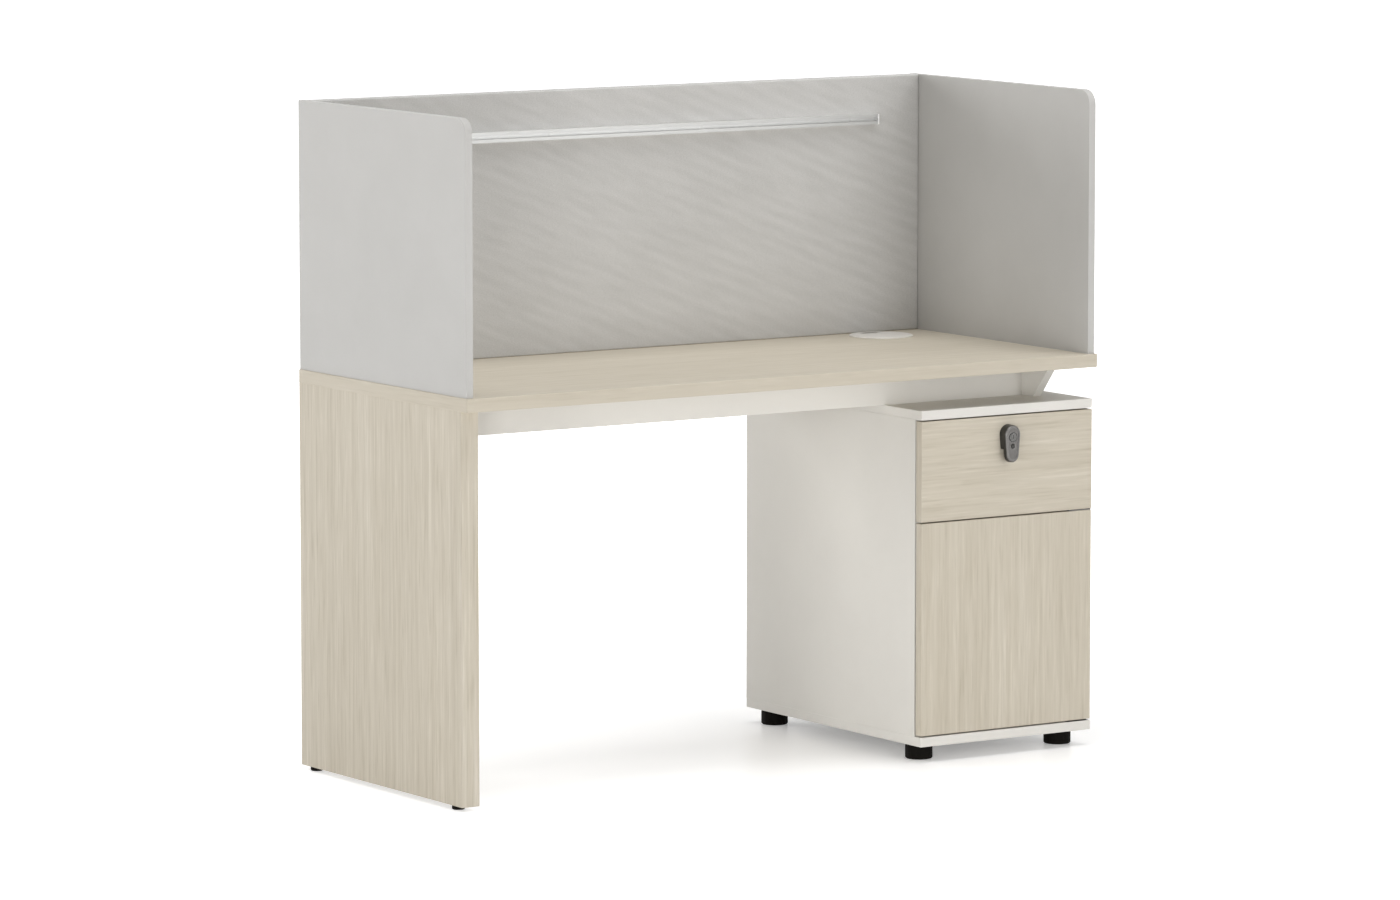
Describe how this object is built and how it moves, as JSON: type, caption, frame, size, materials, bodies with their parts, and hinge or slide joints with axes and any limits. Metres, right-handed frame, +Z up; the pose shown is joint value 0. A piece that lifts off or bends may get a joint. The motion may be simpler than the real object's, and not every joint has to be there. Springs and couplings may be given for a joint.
{
  "type": "office workstation",
  "caption": "Single-person office workstation: screened desktop on a wood end panel and a low pedestal with a lockable drawer over a door.",
  "frame": {"origin": "on the floor, under the middle of the whole footprint", "axes": "+X to the sitter's right along the desk, +Y to the back screen, +Z up; the drawer and door face -Y"},
  "size_m": [1.4, 0.611, 1.25],
  "materials": {
    "pale_wood": "matt wood-grain laminate",
    "white_board": "matt white laminate on board",
    "grey_board": "light grey laminate on board",
    "raw_board": "bare board",
    "beech": "bare beech",
    "grey_fabric": "ribbed woven cloth",
    "anodised": "satin anodised",
    "white_plastic": "fine satin",
    "black_plastic": "matt",
    "zinc_steel": "bright zinc",
    "lock_grey": "satin dark grey",
    "lock_bright": "brushed"
  },
  "bodies": {
    "desk": {"desktop_board": "pale_wood", "desktop_edging": "pale_wood", "end_panel": "pale_wood", "end_panel_edging": "pale_wood", "front_beam": "white_board", "rear_beam": "white_board", "gusset": "white_board", "ped_side_left": "white_board", "ped_side_right": "white_board", "ped_top": "white_board", "ped_bottom": "white_board", "ped_divider": "white_board", "ped_back": "white_board", "shelf": "white_board", "left_screen": "grey_board", "right_screen": "grey_board", "back_screen_core": "raw_board", "desk_dowels": "beech", "carcass_dowels": "beech", "back_screen_cover": "grey_fabric", "accessory_rail": "anodised", "rail_end_caps": "white_plastic", "grommet_ring": "white_plastic", "latch_body": "white_plastic", "feet": "black_plastic", "end_glides": "black_plastic", "gusset_bolts": "zinc_steel", "foot_screws": "zinc_steel", "shelf_pins": "zinc_steel", "slide_outer_left": "zinc_steel", "slide_outer_right": "zinc_steel", "hardware_screws": "zinc_steel", "hinge_leaves": "zinc_steel", "hinge_pins": "zinc_steel", "lock_strike": "zinc_steel"},
    "drawer": {"drawer_front": "pale_wood", "drawer_side_left": "white_board", "drawer_side_right": "white_board", "drawer_back": "white_board", "drawer_bottom": "white_board", "drawer_dowels": "beech", "slide_inner_left": "zinc_steel", "slide_inner_right": "zinc_steel", "slide_screws_drawer": "zinc_steel", "lock_housing": "lock_grey", "lock_nut": "zinc_steel"},
    "slide_middles": {"slide_mid_left": "zinc_steel", "slide_mid_right": "zinc_steel"},
    "outer_cages": {"slide_cages_outer": "zinc_steel", "slide_balls_outer": "zinc_steel"},
    "inner_cages": {"slide_cages_inner": "zinc_steel", "slide_balls_inner": "zinc_steel"},
    "lock": {"lock_plug": "lock_bright", "lock_cam": "zinc_steel", "cam_screw": "zinc_steel"},
    "door": {"door": "pale_wood", "hinge_bushes": "black_plastic", "latch_keeper": "zinc_steel"},
    "latch_plunger": {"latch_plunger": "black_plastic"},
    "grommet_cap": {"grommet_cap": "white_plastic"}
  },
  "joints": [
    {"name": "drawer_slide", "type": "slide", "parent": "desk", "child": "drawer", "axis": [0, -1, 0], "range_m": [0, 0.42]},
    {"name": "slide_middle", "type": "slide", "parent": "desk", "child": "slide_middles", "axis": [0, -1, 0], "range_m": [0, 0.21]},
    {"name": "outer_cage_roll", "type": "slide", "parent": "desk", "child": "outer_cages", "axis": [0, -1, 0], "range_m": [0, 0.105]},
    {"name": "inner_cage_roll", "type": "slide", "parent": "desk", "child": "inner_cages", "axis": [0, -1, 0], "range_m": [0, 0.315]},
    {"name": "lock_turn", "type": "hinge", "parent": "drawer", "child": "lock", "pos_m": [0.4955, -0.27, 0.605], "axis": [0, -1, 0], "range_deg": [0, 90]},
    {"name": "door_hinge", "type": "hinge", "parent": "desk", "child": "door", "pos_m": [0.687, -0.2775, 0.25], "axis": [0, 0, 1], "range_deg": [0, 100]},
    {"name": "latch_push", "type": "slide", "parent": "desk", "child": "latch_plunger", "axis": [0, 1, 0], "range_m": [0, 0.004], "stiffness_N_per_m": 500, "springref_m": -0.002},
    {"name": "grommet_turn", "type": "hinge", "parent": "desk", "child": "grommet_cap", "pos_m": [0.548, 0.2055, 0.75], "axis": [0, 0, 1], "continuous": true}
  ],
  "couplings": [
    {"joint": "slide_middle", "follows": "drawer_slide", "ratio": 0.5},
    {"joint": "outer_cage_roll", "follows": "drawer_slide", "ratio": 0.25},
    {"joint": "inner_cage_roll", "follows": "drawer_slide", "ratio": 0.75}
  ]
}
